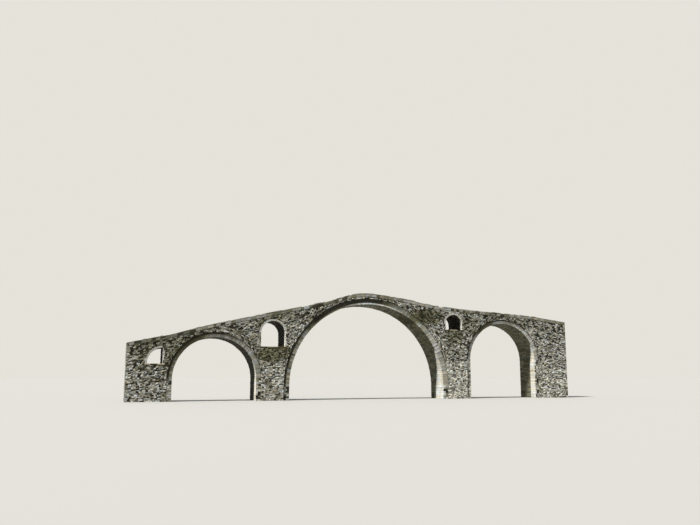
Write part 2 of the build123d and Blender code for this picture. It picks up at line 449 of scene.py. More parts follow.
def mesh_data(name, mesh):
    """Turns a bmesh into mesh data and frees it."""
    data = bpy.data.meshes.new(name)
    mesh.to_mesh(data)
    mesh.free()
    return data


def merge(mesh, other):
    """Moves everything in another bmesh into this one."""
    data = mesh_data("moved", other)
    mesh.from_mesh(data)
    bpy.data.meshes.remove(data)


def put(name, data):
    """Makes an object of a mesh, a light or a camera and puts it in the scene."""
    placed = bpy.data.objects.new(name, data)
    bpy.context.scene.collection.objects.link(placed)
    return placed


def lay_courses(area, levels, pitch, chance, thin_share, lean=0.18):
    """Cuts a flat area into courses at levels of v, and each course into stones along u."""
    laid = bmesh.new()
    course_mesh = bpy.data.meshes.new("course")
    for low, high in zip(levels, levels[1:]):
        course = area.copy()
        cut(course, (0, low, 0), (0, 1, 0), clear_inner=True)
        cut(course, (0, high, 0), (0, 1, 0), clear_outer=True)
        if course.faces:
            bmesh.ops.remove_doubles(course, verts=course.verts, dist=SAME)
            bmesh.ops.dissolve_limit(
                course, angle_limit=STRAIGHT, verts=course.verts, edges=course.edges
            )
            start, end = extent(course, 0)
            joints = spaced(start - pitch * chance.random(), end, pitch, chance, spread=0.5)
            for joint in joints[1:-1]:
                cut(course, (joint, (low + high) / 2, 0), (1, chance.uniform(-lean, lean), 0))
            split_thin(course, chance, thin_share)
            course.to_mesh(course_mesh)
            laid.from_mesh(course_mesh)
        course.free()
    bpy.data.meshes.remove(course_mesh)
    return laid


def split_thin(course, chance, share):
    """Splits a share of a course's stones along their length into two thin ones."""
    for stone in list(course.faces):
        if chance.random() < share:
            bmesh.ops.bisect_plane(
                course,
                geom=[stone, *stone.edges, *stone.verts],
                plane_co=stone.calc_center_median(),
                plane_no=(chance.uniform(-THIN_LEAN, THIN_LEAN), 1, 0),
            )


def inset_stones(mesh, stones, thickness, depth=0.0):
    """Insets each stone by itself, and keeps its points inside the box that it had."""
    boxes = [(stone, extent(stone, 0), extent(stone, 1)) for stone in stones]
    border = bmesh.ops.inset_individual(
        mesh, faces=stones, thickness=thickness, depth=depth, use_even_offset=True
    )
    for stone, *sides in boxes:
        for vertex in stone.verts:
            for axis, (low, high) in enumerate(sides):
                vertex.co[axis] = min(max(vertex.co[axis], low), high)
    return border["faces"]


def raise_stones(laid, chance, tone_of, prouder=1, more_worn=1, roughness=0.5, lost=0.0):
    """Makes each flat face of a bmesh a stone that stands out of its mortar."""
    joint = sizes().joint
    proud = sizes().proud * prouder
    arris = sizes().arris * more_worn
    border = (joint + arris) / 2
    narrow = [
        stone
        for stone in laid.faces
        if stone.calc_area() < border * stone.calc_perimeter() or chance.random() < lost
    ]
    bmesh.ops.delete(laid, geom=narrow, context="FACES")
    tone = laid.faces.layers.float.new("tone")
    for stone in laid.faces:
        stone[tone] = tone_of(chance.random(), stone.calc_center_median())
    bmesh.ops.delete(laid, geom=inset_stones(laid, laid.faces[:], joint / 2), context="FACES")
    tops = bmesh.ops.extrude_discrete_faces(laid, faces=laid.faces[:])["faces"]
    for top in tops:
        rise = proud * chance.uniform(*STONE_RISE) - arris / 2
        slope_u = chance.uniform(-1, 1) * roughness * TOP_SLOPE
        slope_v = chance.uniform(-1, 1) * roughness * TOP_SLOPE
        centre = top.calc_center_median()
        for vertex in top.verts:
            away = vertex.co - centre
            vertex.co.z += rise + slope_u * away.x + slope_v * away.y
    inset_stones(laid, tops, arris, arris * WORN_DEPTH)
    peaks = bmesh.ops.poke(laid, faces=tops)["verts"]
    for peak in peaks:
        along = chance.uniform(-1, 1) * arris * STRAY_ALONG
        across = chance.uniform(-1, 1) * arris
        out = chance.uniform(*STRAY_OUT) * arris * roughness
        peak.co += Vector((along, across, out))


def wander(mesh, amount, grain):
    """Moves each point of flat work a little along the face, so that no joint runs straight."""
    noise.seed_set(NOISE_SEED)
    for vertex in mesh.verts:
        finer = noise.noise_vector(vertex.co * grain * FINER) / 2
        drift = noise.noise_vector(vertex.co * grain) + finer
        vertex.co.x += amount * drift.x
        vertex.co.y += amount * drift.y


def bend_to(mesh, place):
    """Moves each point of flat work to its place on the bridge."""
    for vertex in mesh.verts:
        vertex.co = place(*vertex.co)


def finish_piece(name, mesh, material, replaced=()):
    """Makes a bmesh an object that rides on the bridge, held inside the solids' box."""
    low, high = CAD_BOX
    for vertex in mesh.verts:
        vertex.co = Vector(map(max, low, map(min, high, vertex.co)))
    data = mesh_data(name, mesh)
    data.materials.append(material)
    piece = put(name, data)
    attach(piece, BODY)
    if replaced:
        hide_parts(*replaced)


def add_block(mesh, low, high):
    """Adds a box between two corners to a bmesh."""
    size = Vector(high) - Vector(low)
    middle = (Vector(high) + Vector(low)) / 2
    spot = Matrix.Translation(middle) @ Matrix.Diagonal(size).to_4x4()
    bmesh.ops.create_cube(mesh, size=1, matrix=spot)


def dress_blocks(mesh, chance, wobble, tone_of=None):
    """Gives each box in a bmesh worn edges, uneven faces and a tone of its own."""
    arris = sizes().arris
    tone = mesh.faces.layers.float.new("tone")
    for first in range(0, len(mesh.faces), BLOCK_FACES):
        value = chance.random()
        for face in mesh.faces[first : first + BLOCK_FACES]:
            face[tone] = tone_of(value, face.calc_center_median()) if tone_of else value
    bmesh.ops.bevel(
        mesh,
        geom=mesh.edges[:] + mesh.verts[:],
        offset=arris,
        offset_type="OFFSET",
        segments=1,
        profile=0.5,
        affect="EDGES",
        material=-1,
    )
    for vertex in mesh.verts:
        vertex.co += arris * wobble * Vector([chance.uniform(-1, 1) for _ in range(3)])


class Vault:
    """Underside of an arch on upright legs, as a line from its left foot to its right foot."""

    def __init__(self, nodes, half=False):
        boxes = [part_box(node) for node in nodes]
        self.foot = min(low.z for low, high in boxes)
        points = [v.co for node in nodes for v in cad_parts[node].data.vertices]
        lowest = [point for point in points if point.z < self.foot + SAME]
        feet = sorted({round(point.x, FOOT_DECIMALS) for point in lowest})
        outer_left, left, right = feet[0], feet[1], feet[-2]
        self.lining = left - outer_left
        self.radius = right - left if half else (right - left) / 2
        self.x = right if half else (right + left) / 2
        self.sweep = math.pi / 2 if half else math.pi
        top = max(high.z for low, high in boxes)
        self.spring = top - self.lining - self.radius
        self.front = min(low.y for low, high in boxes)
        self.back = max(high.y for low, high in boxes)
        self.rise = self.spring - self.foot
        self.turned = self.rise + self.sweep * self.radius
        self.right_top = self.spring + self.radius * math.sin(self.sweep)
        self.length = self.turned + self.right_top - self.foot

    def place(self, along, y, inward):
        """Point that lies inward of the vault's underside."""
        reach = self.radius - inward
        if along < self.rise:
            return Vector((self.x - reach, y, self.foot + along))
        if along > self.turned:
            side = self.x - self.radius * math.cos(self.sweep) - inward
            return Vector((side, y, self.right_top - (along - self.turned)))
        angle = (along - self.rise) / self.radius
        return Vector((self.x - reach * math.cos(angle), y, self.spring + reach * math.sin(angle)))

    def on_leg(self, along):
        """Whether a place along the line is on one of the upright legs."""
        return along < self.rise or along > self.turned

    def sunlit_width(self, along, band):
        """Width of the painted sunlit strip along the front edge of the underside."""
        climb = max(0, self.turned - along) / self.radius
        if climb > SUNLIT_CLIMB or (climb and self.sweep < math.pi):
            return 0
        return band + SUNLIT_SHARE * self.radius * max(0, math.cos(SUNLIT_TURN + climb))

    def stones(self, chance, row, pitch, tones):
        """Blocks of the whole vault: its rings at both faces and the rows between them."""
        size = sizes()
        mesh = bmesh.new()
        gap = size.joint * VAULT_JOINT / 2
        rows = spaced(0, self.length, row, chance, spread=0.28)
        for low, high in zip(rows, rows[1:]):
            middle = (low + high) / 2
            cuts = spaced(self.front, self.back, pitch, chance, spread=0.4)
            # A joint runs along the edge of the painted sunlit strip
            width = self.sunlit_width(middle, tones["band"])
            if width > BAND_JOINT * pitch:
                nearest = min(cuts[1:-1], key=lambda place: abs(place - self.front - width))
                cuts = sorted({*cuts, self.front + width} - {nearest})
            for start, end in zip(cuts, cuts[1:]):
                y_from = start + gap
                y_to = end - gap
                if start == cuts[0]:
                    y_from = start - size.proud * chance.uniform(*FACE_RISE)
                if end == cuts[-1]:
                    y_to = end + size.proud * chance.uniform(*FACE_RISE)
                face = size.proud * chance.uniform(*UNDERSIDE_RISE)
                layers = [-BLOCK_DEPTH * size.arris, face]
                if start == cuts[0] or end == cuts[-1]:
                    layers = [gap - self.lining, face]
                    if self.on_leg(middle):
                        layers.insert(1, -self.lining * chance.uniform(*LEG_JOINT))
                for base, top in zip(layers, layers[1:]):
                    below = base + (gap if base != layers[0] else 0)
                    above = top - (gap if top != layers[-1] else 0)
                    add_block(mesh, (low + gap, y_from, below), (high - gap, y_to, above))

        def tone_of(value, spot):
            return self.tone(value, spot, tones)

        dress_blocks(mesh, chance, BLOCK_WOBBLE, tone_of)
        self.paint_overhang_shadow(mesh, tones)
        bend_to(mesh, self.place)
        return mesh

    def tone(self, value, spot, tones):
        """Tone of the block at a place, for a random value between 0 and 1."""
        along, y, inward = spot
        if inward > 0:
            # Painted sunlit strip along the front of the underside; the rest is darkened as painted
            # shade
            if y - self.front < self.sunlit_width(along, tones["band"]):
                return toned(value, (tones["sunlit_strip"], 1 - tones["sunlit_strip"]))
            return tones["underside"] * toned(value, UNDERSIDE_TONES)
        if along < self.rise:
            return value * tones["left_leg"]
        if self.on_leg(along):
            return contrasted(value)
        # The left half of a ring keeps only a share of its tone: painted shade
        ring = tones["ring"] * (tones["left_ring"] if along < self.length / 2 else 1)
        return ring * (1 - tones["spread"]) + value * tones["spread"]

    def paint_overhang_shadow(self, mesh, tones):
        """Paints the wall's shadow on the rings' faces, and sunlight and shade along their lower
        edge.
        """
        edge, sunlit_rim, shaded_rim = tones["edge"], tones["sunlit_rim"], tones["shaded_rim"]
        tone = mesh.faces.layers.float["tone"]
        deep = min(-edge, OVERHANG_SHADOW_DEPTH - self.lining)
        cut(mesh, (0, 0, -edge), (0, 0, 1))
        cut(mesh, (0, 0, deep), (0, 0, 1))
        mesh.normal_update()
        for face in mesh.faces:
            along, _, inward = face.calc_center_median()
            if abs(face.normal.y) < SIDEWAYS or self.on_leg(along):
                continue
            turn = math.degrees((along - self.rise) / self.radius)
            share = held((OVERHANG_SHADOW_TO - turn) / OVERHANG_SHADOW_FADE)
            begun = held((turn - OVERHANG_SHADOW_FROM) / OVERHANG_SHADOW_FADE * QUICKER)
            # Lower edge of the face: painted shade on its left part, painted sunlight further round
            if inward > -edge:
                pale = held((turn - SUNLIT_RIM_FROM) / OVERHANG_SHADOW_FADE * QUICKER)
                aim = shaded_rim + (sunlit_rim - shaded_rim) * pale
                face[tone] += (aim - face[tone]) * begun * share
            else:
                # Rest of the face: the overhanging wall's painted shadow
                share *= 1 if inward < deep else begun
                face[tone] += (OVERHANG_SHADOW_TONE - face[tone]) * share


class RingBack:
    """Axes round the back of an arch ring, as a wall's face shows it: u along it, v out of it."""

    def __init__(self, nodes, sign):
        vault = Vault(nodes)
        self.x, self.z, self.radius = sign * vault.x, vault.spring, vault.radius + vault.lining

    def unroll(self, x, z, h):
        """Point of these axes for a point of the wall's flat face."""
        angle = math.atan2(x - self.x, z - self.z)
        return Vector((self.radius * angle, math.hypot(x - self.x, z - self.z), h))

    def roll(self, along, reach, h):
        """Point of the wall's flat face for a point of these axes."""
        angle = along / self.radius
        return Vector((self.x + reach * math.sin(angle), self.z + reach * math.cos(angle), h))

    def facing(self, area, depth, thinning, end):
        """Takes the facing that follows the ring out of a wall's area and unrolls it."""
        edge = self.radius + depth
        start, stop = (self.radius * math.radians(angle) for angle in (thinning, end))
        bend_to(area, self.unroll)
        cut(area, (0, edge, 0), (0, 1, 0))
        for side in (-1, 1):
            cut(area, (side * start, 0, 0), (1, 0, 0))
            cut(area, (side * stop, self.radius, 0), (side * depth, stop - start, 0))

        def inside(spot):
            share = min(1, (stop - abs(spot.x)) / (stop - start))
            return spot.y < self.radius + depth * share

        taken = take(area, inside)
        bend_to(area, self.roll)
        return taken, edge


class Socket:
    """Output of a shader node that Python arithmetic can be written on."""

    def __init__(self, tree, output):
        self.tree = tree
        self.output = output

    def math(self, operation, *values):
        """Adds a Math node that works on values or sockets."""
        sockets = dict(enumerate(values))
        return self.tree.node("ShaderNodeMath", {"operation": operation}, sockets)

    def __add__(self, other):
        return self.math("ADD", self, other)

    __radd__ = __add__

    def __sub__(self, other):
        return self.math("SUBTRACT", self, other)

    def __rsub__(self, other):
        return self.math("SUBTRACT", other, self)

    def __mul__(self, other):
        return self.math("MULTIPLY", self, other)

    __rmul__ = __mul__

    def __truediv__(self, other):
        return self.math("DIVIDE", self, other)

    def __pow__(self, other):
        return self.math("POWER", self, other)


class NodeTree:
    """Shader nodes of a material or of the world."""

    def __init__(self, tree):
        self.tree = tree

    def node(self, kind, settings, sockets, output=0):
        """Adds a node, sets it up, feeds its sockets and gives one of its outputs."""
        node = self.tree.nodes.new(kind)
        for key, value in settings.items():
            if key == "stops":
                self.set_stops(node.color_ramp, value)
            else:
                setattr(node, key, value)
        for key, value in sockets.items():
            self.feed(node.inputs[key], value)
        return Socket(self, node.outputs[output])

    def set_stops(self, ramp, stops):
        """Gives a colour ramp its stops, each a position and a colour."""
        while len(ramp.elements) < len(stops):
            ramp.elements.new(1)
        for element, (position, colour) in zip(ramp.elements, stops):
            element.position = position
            element.color = (*colour, 1)

    def feed(self, socket, value):
        """Links a socket to another or sets its value."""
        if isinstance(value, Socket):
            self.tree.links.new(value.output, socket)
        elif socket.type == "RGBA" and len(value) == 3:
            socket.default_value = (*value, 1)
        else:
            socket.default_value = value

    def mix(self, factor, first, second, blend="MIX"):
        """Two colours mixed."""
        settings = {"data_type": "RGBA", "blend_type": blend}
        return self.node("ShaderNodeMix", settings, {0: factor, 6: first, 7: second}, 2)

    def seen(self):
        """1 for what the camera sees, also through glass or in a gloss, and 0 for light."""
        camera, gloss, glass = (
            self.node("ShaderNodeLightPath", {}, {}, f"Is {kind} Ray")
            for kind in ("Camera", "Glossy", "Transmission")
        )
        either = camera.math("MAXIMUM", camera, gloss)
        return either.math("MAXIMUM", either, glass)


class Finish(NodeTree):
    """Material made of shader nodes."""

    def __init__(self, name):
        self.material = bpy.data.materials.new(name)
        self.material.use_nodes = True
        super().__init__(self.material.node_tree)
        self.shader = next(n for n in self.tree.nodes if n.type == "BSDF_PRINCIPLED")
        self.point = self.node("ShaderNodeTexCoord", {}, {}, "Object")

    def noise(self, scale, detail=3, roughness=0.5):
        """Soft noise between 0 and 1, in features per metre."""
        sockets = {"Vector": self.point, "Scale": scale, "Detail": detail}
        sockets["Roughness"] = roughness
        return self.node("ShaderNodeTexNoise", {}, sockets)

    def cells(self, scale, feature="F1"):
        """Distance to the nearest of many scattered points, or to the edge of its cell."""
        sockets = {"Vector": self.point, "Scale": scale}
        return self.node("ShaderNodeTexVoronoi", {"feature": feature}, sockets)

    def step(self, value, low, high):
        """Smooth rise from 0 to 1 as the value goes from low to high."""
        settings = {"interpolation_type": "SMOOTHSTEP"}
        return self.node("ShaderNodeMapRange", settings, {0: value, 1: low, 2: high})

    def within(self, value, low, high, near, far):
        """1 between two values, and 0 near them and beyond; it changes from near to far."""
        begun = self.step(value, low + near, low + far)
        return begun * (1 - self.step(value, high - far, high - near))

    def cover(self, kind):
        """How much of a point something covers that lies on the stones, from 0 to 1."""
        patches = self.noise(kind.scale, kind.detail, kind.roughness)
        return self.step(patches, kind.begins, kind.full)

    def grained(self, grain, greys):
        """Greys, from dark to pale, that follow a grain."""
        return self.mix(grain, *((grey, grey, grey) for grey in greys))

    def parts(self, vector):
        """The three parts of a vector."""
        apart = {"Vector": vector}
        return [self.node("ShaderNodeSeparateXYZ", {}, apart, axis) for axis in "XYZ"]

    @cached_property
    def places(self):
        """The three coordinates of the point that is shaded."""
        return self.parts(self.point)

    @cached_property
    def ragged(self):
        """Noise that frays the edge of every patch."""
        return (self.noise(*PATCH_NOISE) - 0.5) * PATCH_FRAY

    def patch(self, x, z, width, height):
        """Ragged patch that fades out from a place in the elevation."""
        along, _, up = self.places
        spread = (((along - x) / width) ** 2 + ((up - z) / height) ** 2) ** 0.5
        return 1 - self.step(spread + self.ragged, *PATCH_EDGE)

    def bump(self, height, strength, distance):
        """Roughens the surface by a height, without moving it."""
        sockets = {"Height": height, "Strength": strength, "Distance": distance}
        self.feed(self.shader.inputs["Normal"], self.node("ShaderNodeBump", {}, sockets))

    def set(self, **values):
        """Feeds the shader's sockets, named with _ for a space, and gives the material."""
        for name, value in values.items():
            self.feed(self.shader.inputs[name.replace("_", " ")], value)
        return self.material


class Cover(NamedTuple):
    """What lies on the stones: its noise, where in that it begins and is full, how strong it is."""

    scale: float
    detail: float
    roughness: float
    begins: float
    full: float
    strength: float


DIRT = Cover(0.9, 6, 0.68, 0.45, 0.70, 0.55)
TUFTS = Cover(9, 5, 0.7, 0.48, 0.62, 0.7)
FLECKS = Cover(26, 3, 0.7, 0.6, 0.7, 0.4)
LICHEN = Cover(1.4, 5, 0.65, 0.56, 0.70, 0.35)
RUST = Cover(3.1, 3, 0.5, 0.60, 0.72, 0.3)

# Patches: scale and detail of the noise that frays them, how much it does, and where they end
PATCH_NOISE = (2.2, 4)
PATCH_FRAY = 1.2
PATCH_EDGE = (0.55, 1.15)
# Strength of a stain above which moss grows in it, and how much scoured stones are evened out
MOSSY_FROM = 0.5
EVENED = 0.36
# Share of the way from grey to pale stone at which stone counts as light
LIGHT_SHARE = 0.3
# Tones at which stone takes its colours, each a share of the way from one colour to another
STOPS = (
    (0.0, "dark", "dark", 0),
    (0.06, "dark", "olive", 0.15),
    (0.18, "olive", "olive", 0),
    (0.5, "mid", "mid", 0),
    (0.8, "mid", "pale", LIGHT_SHARE),
    (1.0, "pale", "pale", 0),
)
# Tones between which what grows on stone begins to show, and the factor that gives stones of
# nearly one tone their own tinges
LIT_TONES = (0.02, 0.3)
DRAWS = 977
# Grain of stone: scale, detail and roughness of its noise, its greys and how much they show
GRAIN = (42, 5, 0.65)
GRAIN_GREYS = (0.45, 1.5)
GRAIN_SHARE = 0.6
# What is finer than the grain: noise and pits, each with its height for the grain's
FINE_GRAIN = (150, 3)
FINE_HEIGHT = 0.5
PITS = 55
PIT_HEIGHT = 0.4
# Strength and distance of the stones' bumps, and their roughness with what the grain adds
STONE_BUMP = (0.7, 0.006)
ROUGHNESS = 0.82
GRAIN_ROUGHNESS = 0.15


def between(first, second, share):
    """Colour that lies a share of the way from the first to the second."""
    return tuple(a + (b - a) * share for a, b in zip(first, second))


def weathered(finish, colour, scour, lit, stained):
    """Lays dirt, damp, moss and flecks over a stone colour, and pales the scoured parts."""
    palette = colours()
    light = between(palette.mid, palette.pale, LIGHT_SHARE)
    dirt = finish.cover(DIRT) * (DIRT.strength * stained)
    colour = finish.mix(dirt, colour, palette.stain, "MULTIPLY")
    tufts = finish.cover(TUFTS)
    for x, z, width, height, strength in STAINS:
        damp = finish.patch(x, z, width, height) * (strength * stained)
        colour = finish.mix(damp, colour, palette.stain, "MULTIPLY")
        if strength > MOSSY_FROM:
            colour = finish.mix(damp * tufts * TUFTS.strength, colour, palette.moss)
    for x, z, width, height, strength in SCOURED:
        clean = finish.patch(x, z, width, height) * (strength * scour)
        colour = finish.mix(clean, colour, palette.scoured, "MULTIPLY")
        colour = finish.mix(clean * EVENED, colour, light)
    return finish.mix(finish.cover(FLECKS) * lit * FLECKS.strength, colour, palette.pale)


def stone_finish(name, tint=None, scour=1.0, variety=1.0, stained=1.0):
    """Rough stone whose tone, and tinge, change from stone to stone."""
    finish = Finish(name)
    palette = colours()
    tone = finish.node("ShaderNodeAttribute", {"attribute_name": "tone"}, {}, "Fac")
    stops = [
        (place, between(getattr(palette, first), getattr(palette, second), share))
        for place, first, second, share in STOPS
    ]
    colour = finish.node("ShaderNodeValToRGB", {"stops": stops}, {0: tone})
    draw = finish.node("ShaderNodeTexWhiteNoise", {"noise_dimensions": "1D"}, {"W": tone * DRAWS})
    tinge = finish.mix(draw, palette.cool, palette.warm)
    colour = finish.mix(variety, colour, tinge, "MULTIPLY")
    lit = finish.step(tone, *LIT_TONES)
    for kind, growth in ((LICHEN, palette.lichen), (RUST, palette.ochre)):
        shown = finish.cover(kind) * lit * (kind.strength * stained)
        colour = finish.mix(shown, colour, growth)
    grain = finish.noise(*GRAIN)
    greys = finish.grained(grain, GRAIN_GREYS)
    colour = finish.mix(GRAIN_SHARE, colour, greys, "MULTIPLY")
    colour = weathered(finish, colour, scour, lit, stained)
    if tint:
        colour = finish.mix(1.0, colour, tint, "MULTIPLY")
    pits = finish.cells(PITS) * PIT_HEIGHT
    finish.bump(grain + finish.noise(*FINE_GRAIN) * FINE_HEIGHT + pits, *STONE_BUMP)
    roughness = ROUGHNESS + grain * GRAIN_ROUGHNESS
    return finish.set(Base_Color=colour, Roughness=roughness, Specular_IOR_Level=GLOSS)


class Crumbs(NamedTuple):
    """Crumbs of stone in mortar: how many a metre, where they end, how strong, which colour."""

    scale: float
    ends: tuple
    strength: float
    colour: str


JOINT_CRUMBS = Crumbs(38, (0.25, 0.5), 0.15, "mid")
CORE_CRUMBS = Crumbs(24, (0.3, 0.5), 0.3, "olive")

# Grit in the mortar: scale, detail and roughness of its noise, and how much paler it is
GRIT = (60, 5, 0.7)
GRIT_GAIN = 2.2
# Strength and distance of the mortar's bumps, and the roughness of mortar and of bare core
MORTAR_BUMP = (0.8, 0.01)
MORTAR_ROUGHNESS = 0.95
CORE_ROUGHNESS = 0.92
# Bare stone of the core: its patches, where they change colour, its greys, its seams a metre,
# how wide those are, and the height of the crumbs
CORE_PATCHES = (9, 3, 0.6)
CORE_CHANGE = (0.4, 0.6)
CORE_GREYS = (0.5, 1.3)
SEAMS = 8.0
SEAM_EDGE = (0.01, 0.06)
CORE_CRUMB_HEIGHT = 0.5
# Bare stone shows on faces that look up less than this, and behind the outermost depth of the
# walls and of the ends
LEVEL_EDGE = (0.3, 0.6)
WALL_SKIN = (0, 0.004)
END_SKIN = (0.03, 0.06)


def gritty(finish, crumbs):
    """Colour of mortar with crumbs of stone in it, and its grit and crumbs by themselves."""
    palette = colours()
    grit = finish.noise(*GRIT)
    shown = finish.step(finish.cells(crumbs.scale), *crumbs.ends)
    colour = finish.mix(grit, palette.mortar, tuple(GRIT_GAIN * part for part in palette.mortar))
    colour = finish.mix(shown * crumbs.strength, colour, getattr(palette, crumbs.colour))
    return colour, grit, shown


def mortar_finish():
    """Dark rough mortar and small filling behind the joints."""
    finish = Finish("joint_mortar")
    colour, grit, crumbs = gritty(finish, JOINT_CRUMBS)
    finish.bump(grit + crumbs, *MORTAR_BUMP)
    return finish.set(Base_Color=colour, Roughness=MORTAR_ROUGHNESS, Specular_IOR_Level=GLOSS)


def core_finish(name, walled):
    """Mortar with pale stone on the edges that show: a wall's over a ring, the paving's ends."""
    finish = Finish(name)
    palette = colours()
    upward = finish.parts(finish.node("ShaderNodeNewGeometry", {}, {}, "Normal"))[2]
    bare = 1 - finish.step(upward, *LEVEL_EDGE)
    if walled:
        along, across, _ = finish.places
        bare = bare * finish.within(across, WALL_FRONT, WALL_BACK, *WALL_SKIN)
        bare = bare * finish.within(along, CAD_BOX[0].x, CAD_BOX[1].x, *END_SKIN)
    colour, grit, crumbs = gritty(finish, CORE_CRUMBS)
    patches = finish.noise(*CORE_PATCHES)
    stone = finish.mix(finish.step(patches, *CORE_CHANGE), palette.olive, palette.mid)
    stone = finish.mix(1.0, stone, finish.grained(grit, CORE_GREYS), "MULTIPLY")
    seam = 1 - finish.step(finish.cells(SEAMS, "DISTANCE_TO_EDGE"), *SEAM_EDGE)
    stone = finish.mix(seam, stone, palette.mortar)
    colour = finish.mix(bare, colour, stone)
    height = grit + patches + crumbs * CORE_CRUMB_HEIGHT - seam * bare
    finish.bump(height, *MORTAR_BUMP)
    return finish.set(Base_Color=colour, Roughness=CORE_ROUGHNESS, Specular_IOR_Level=GLOSS)


def lift(mesh, line, sign, times=1):
    """Moves a wall's flat work up by the height of a line; sign is the way that u runs along X."""
    for vertex in mesh.verts:
        vertex.co.y += times * line(sign * vertex.co.x)


def rubble(area, low, high, chance):
    """Courses of rubble over a flat area, between two levels."""
    size = sizes()
    beds = spaced(low, high, size.course, chance)
    return lay_courses(area, beds, size.wall_stone, chance, size.thin_share)


def flat_wall(side, outward):
    """Stones of a whole side wall, laid flat and not yet raised, and the face they lie on."""
    size = sizes()
    chance = random.Random(side)
    nodes = [node for pier, wall in BAYS.values() for node in (pier, f"{side}_{wall}")]
    face = Face(nodes, outward)
    area = face.area()
    sign = 1 if outward.y < 0 else -1
    for axis, normal in enumerate((Vector((1, 0, 0)), Vector((0, 1, 0)))):
        low, high = extent(area, axis)
        for place in np.arange(low, high, GRID)[1:]:
            cut(area, normal * place, normal)
    laid = edge_stones(area, sign, chance)
    for nodes, *reach in RING_FACINGS:
        back = RingBack(nodes, sign)
        strip, edge = back.facing(area, *reach)
        facing = rubble(strip, back.radius, edge, chance)
        bend_to(facing, back.roll)
        merge(laid, facing)
        strip.free()
    upper = area.copy()
    area.free()
    lift(upper, bed_height, sign, -1)
    lower = upper.copy()
    cut(upper, (0, -size.road_zone, 0), (0, 1, 0), clear_inner=True)
    cut(lower, (0, -size.road_zone, 0), (0, 1, 0), clear_outer=True)
    lift(lower, bed_height, sign)
    sloping = rubble(upper, -size.road_zone, extent(upper, 1)[1], chance)
    lift(sloping, bed_height, sign)
    merge(laid, sloping)
    merge(laid, rubble(lower, 0, extent(lower, 1)[1], chance))
    for used in (upper, lower):
        used.free()
    wander(laid, *WALL_WANDER)
    return laid, face, sign


def edge_stones(area, sign, chance):
    """Takes the strip just below the road out of a wall's area, and lays it with long stones."""
    size = sizes()
    lift(area, road_height, sign, -1)
    strip = area.copy()
    cut(strip, (0, -size.edge_course, 0), (0, 1, 0), clear_inner=True)
    cut(area, (0, -size.edge_course - size.edge_joint, 0), (0, 1, 0), clear_outer=True)
    beds = [-size.edge_course, extent(strip, 1)[1]]
    stones = lay_courses(strip, beds, size.edge_stone, chance, EDGE_THIN_SHARE)
    strip.free()
    for mesh in (area, stones):
        lift(mesh, road_height, sign)
    return stones


def bay_of(x):
    """Name of the bay that a place along the bridge lies in."""
    return list(BAYS)[sum(x > end for end in BAY_ENDS[:-1])]


def block_stones(name, nodes, outward, course, pitch, tones):
    """Level courses of stones over one flat face of some solids."""
    chance = random.Random(name)
    face = Face(nodes, outward)
    area = face.area()
    beds = spaced(*extent(area, 1), course, chance)
    laid = lay_courses(area, beds, pitch, chance, sizes().thin_share / 2, lean=0.1)
    area.free()
    wander(laid, *BLOCK_WANDER)
    raise_stones(laid, chance, lambda value, spot: toned(value, tones))
    bend_to(laid, face.place)
    return laid


class BRIDGE_OT_wall_stones(Operator):
    """Lays the rubble of the front and back walls, bay by bay"""

    bl_idname = "bridge.wall_stones"
    bl_label = "Lay wall stones"

    def execute(self, context):
        material = stone_finish("wall_rubble")
        for side, outward in (("front", FRONTWARD), ("back", BACKWARD)):
            laid, face, sign = flat_wall(side, outward)
            for bay in BAYS:
                stones = take(laid, lambda spot: bay_of(sign * spot.x) == bay)
                name = f"{side}_wall_stones_{bay}"
                self.raise_bay(stones, random.Random(name), sign)
                bend_to(stones, face.place)
                finish_piece(name, stones, material)
            laid.free()
        return {"FINISHED"}

    def raise_bay(self, stones, chance, sign):
        """Raises a bay's stones, with even grey ones just under the coping."""
        size = sizes()

        def tone_of(value, spot):
            below = road_height(sign * spot.x) - spot.y
            if below < size.edge_course:
                return toned(value, EDGE_COURSE_TONES)
            damp = DAMP * held(DAMP_FADE * (1 - below / DAMP_REACH))
            return contrasted(value) - damp

        raise_stones(stones, chance, tone_of, lost=size.lost_share)


class BRIDGE_OT_end_stones(Operator):
    """Faces the two ends of the bridge with level courses"""

    bl_idname = "bridge.end_stones"
    bl_label = "Face the ends"

    def execute(self, context):
        material = stone_finish("end_rubble")
        size = sizes()
        course = size.course * END_STONE
        pitch = size.wall_stone * END_STONE
        for end, x in (("left_end", -1), ("right_end", 1)):
            abutment, spandrel = BAYS[end]
            nodes = [abutment, f"front_{spandrel}", f"back_{spandrel}", f"rubble_core_{end}"]
            name = f"{end}_face_stones"
            stones = block_stones(name, nodes, (x, 0, 0), course, pitch, END_TONES)
            finish_piece(name, stones, material)
        return {"FINISHED"}


class BRIDGE_OT_arch_stones(Operator):
    """Lays the cut stones of the three large arches"""

    bl_idname = "bridge.arch_stones"
    bl_label = "Lay arch stones"

    def execute(self, context):
        material = stone_finish("ring_stone", scour=0.0)
        size = sizes()
        arches = (
            ("main_arch", MAIN_ARCH_NODES, size.main_row, MAIN_TONES),
            ("left_arch", ("left_arch",), size.side_row, LEFT_TONES),
            ("right_arch", ("right_arch",), size.side_row, RIGHT_TONES),
        )
        for name, nodes, row, tones in arches:
            stones = Vault(nodes).stones(random.Random(name), row, size.ring_stone, tones)
            finish_piece(f"{name}_stones", stones, material)
        return {"FINISHED"}


